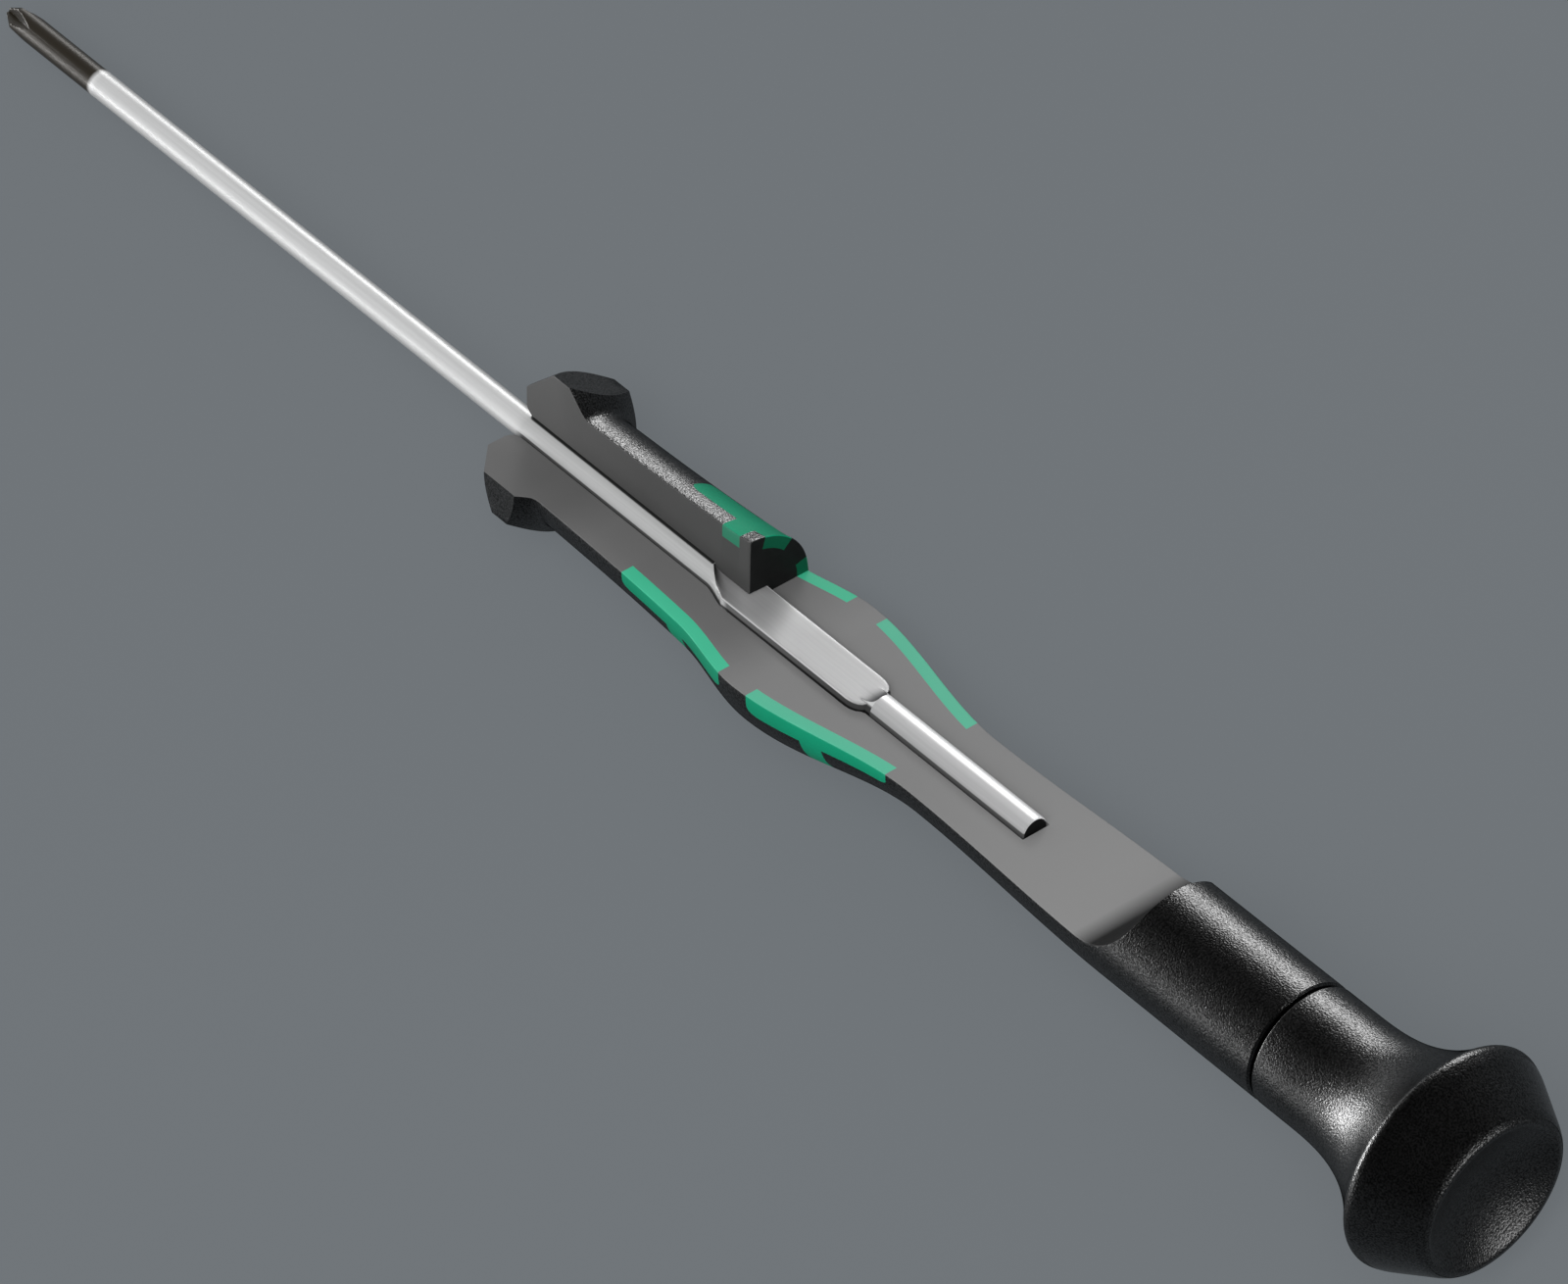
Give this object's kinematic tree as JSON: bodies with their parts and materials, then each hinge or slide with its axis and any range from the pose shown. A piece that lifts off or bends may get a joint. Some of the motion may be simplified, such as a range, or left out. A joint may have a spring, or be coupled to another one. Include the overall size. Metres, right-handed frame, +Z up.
{
  "type": "precision screwdriver",
  "caption": "Small cross-point screwdriver lying on an anti-roll flat, its two-component handle cut open to show the winged blade, with a freely turning cap.",
  "frame": {"origin": "on the tool axis, half-way between the blade's point and the cap's end", "axes": "+X along the tool axis from the blade's point to the cap, +Z up with one anti-roll flat of the nose facing down"},
  "size_m": [0.157, 0.0168, 0.0168],
  "materials": {
    "blade_steel": "satin, point blackened",
    "black_hard_plastic": "fine spark-eroded grain, cut faces smooth grey",
    "green_soft_plastic": "smooth matt",
    "black_cap_plastic": "fine spark-eroded grain",
    "pin_steel": "ground",
    "bearing_bronze": "sintered",
    "washer_polymer": "smooth"
  },
  "bodies": {
    "handle": {"blade": "blade_steel", "handle_core": "black_hard_plastic", "front_soft_grip": "green_soft_plastic", "rear_soft_grip": "green_soft_plastic", "cap_pivot_pin": "pin_steel", "cap_retaining_ring": "pin_steel", "cap_thrust_washer": "washer_polymer"},
    "cap": {"swivel_cap": "black_cap_plastic", "cap_bearing_bush": "bearing_bronze"}
  },
  "joints": [
    {"name": "cap_spin", "type": "hinge", "parent": "handle", "child": "cap", "pos_m": [0.0607, 0, 0], "axis": [1, 0, 0], "continuous": true}
  ]
}
